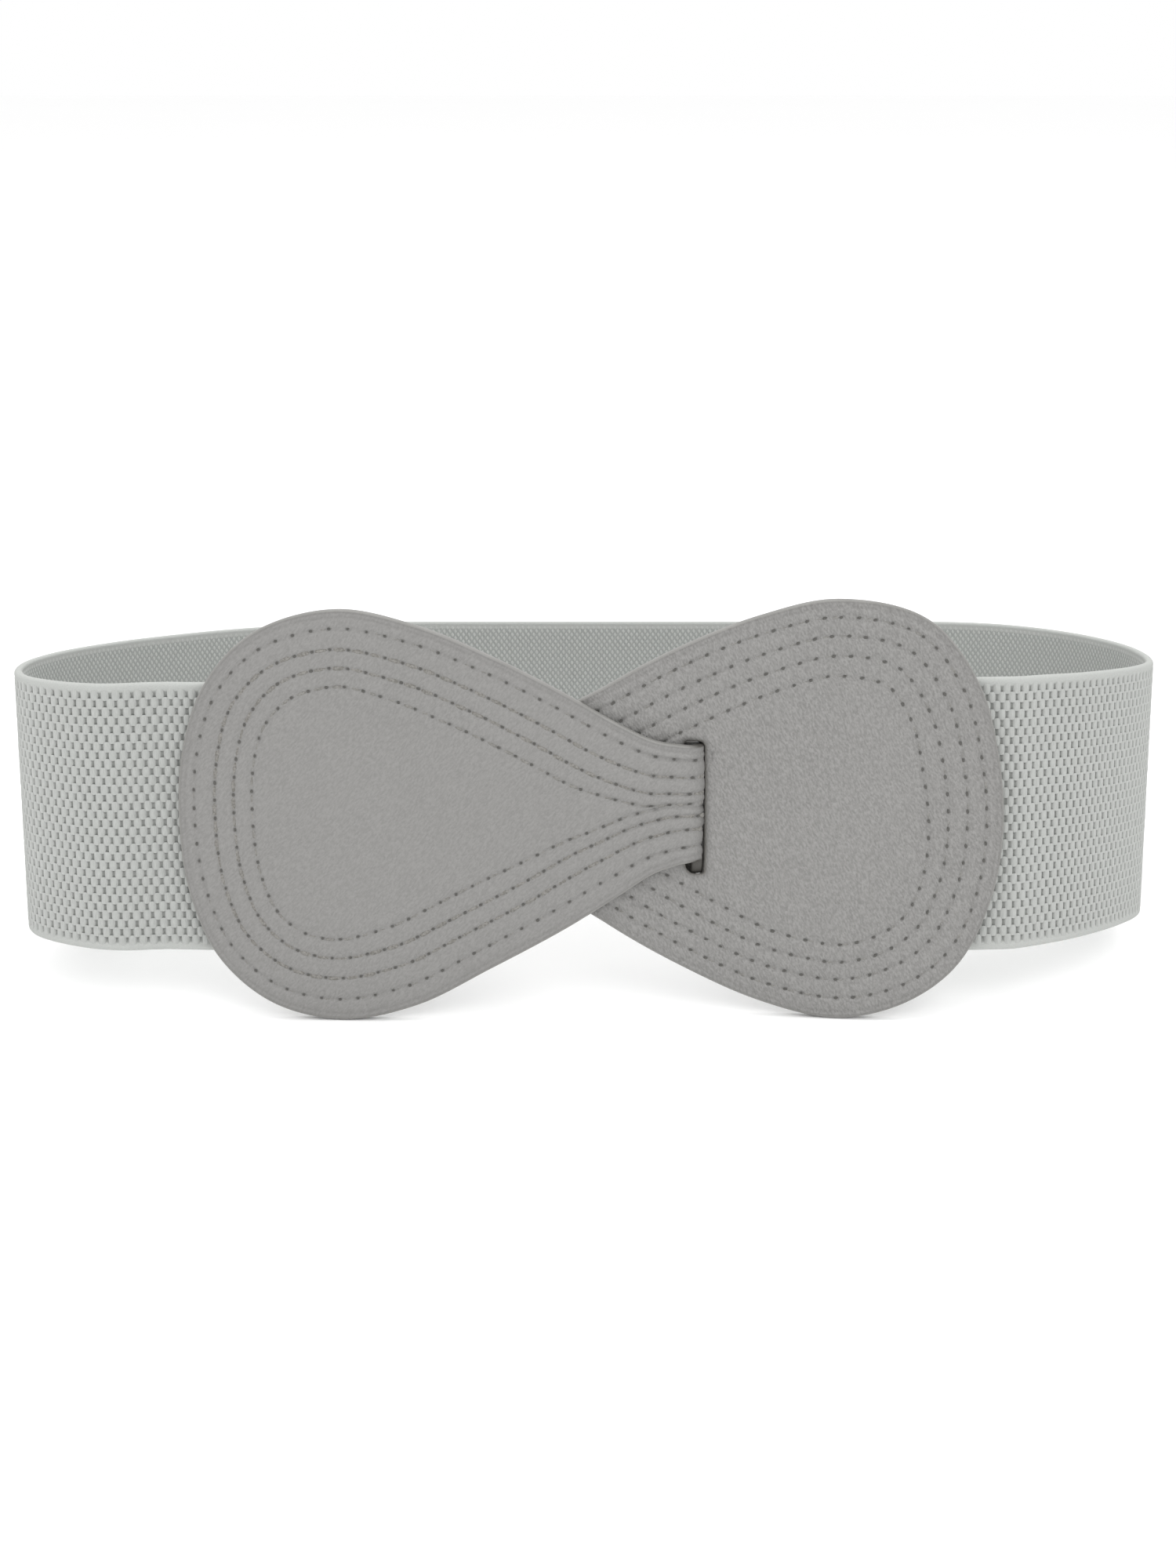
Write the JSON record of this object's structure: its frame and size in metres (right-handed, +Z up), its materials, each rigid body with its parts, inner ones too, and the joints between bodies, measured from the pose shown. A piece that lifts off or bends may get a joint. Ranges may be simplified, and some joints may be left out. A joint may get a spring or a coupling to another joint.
{
  "type": "elastic waist belt",
  "caption": "Wide elastic waist belt, fastened: a stitched leather paddle at each end, one with a tongue that passes through a slot in the other and snaps behind.",
  "frame": {"origin": "on the surface that the belt stands on, under the middle of its bounding box", "axes": "+X along the belt's front from the tongue paddle towards the slotted paddle, +Y from the front to the rear, +Z up"},
  "size_m": [0.2614, 0.1142, 0.0906],
  "materials": {
    "elastic": "woven light grey elastic, matt",
    "leather": "smooth grey faux leather with a fine pebble grain and painted edges",
    "thread": "grey sewing thread, matt",
    "stud_metal": "dull nickel"
  },
  "bodies": {
    "root": {"elastic_band": "elastic", "tongue_paddle": "leather", "slotted_paddle": "leather", "press_stud": "stud_metal"}
  },
  "joints": []
}
